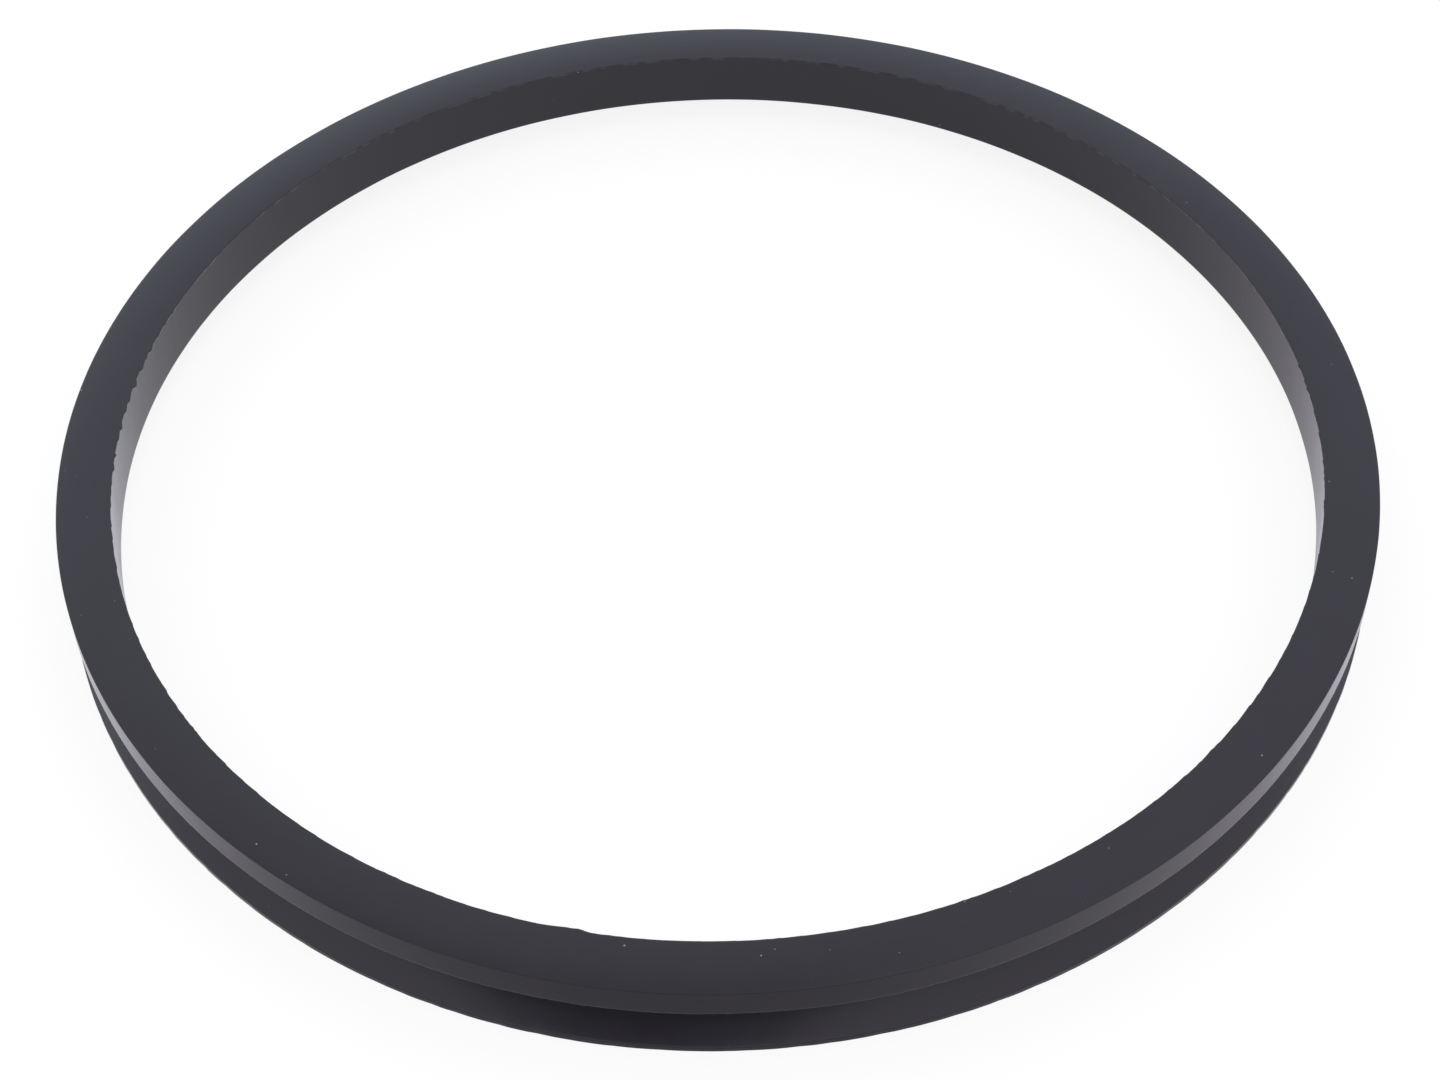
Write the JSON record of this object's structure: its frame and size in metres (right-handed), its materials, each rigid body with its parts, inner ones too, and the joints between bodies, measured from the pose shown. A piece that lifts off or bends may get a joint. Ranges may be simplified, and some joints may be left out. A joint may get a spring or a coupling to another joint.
{
  "type": "v-ring shaft seal",
  "caption": "Rubber axial shaft seal: a solid ring with a plain bore, a flat back face, a straight outer land, a V notch and a thin conical sealing lip.",
  "frame": {"origin": "on the ring's axis, at the height of the lip's tip, on which the seal lies with its back face up", "axes": "+Z along the ring's axis, from the lip's tip towards the flat back face"},
  "size_m": [0.196, 0.196, 0.0138],
  "materials": {
    "v_ring": "smooth satin black moulded rubber"
  },
  "bodies": {
    "root": {"v_ring": "v_ring"}
  },
  "joints": []
}
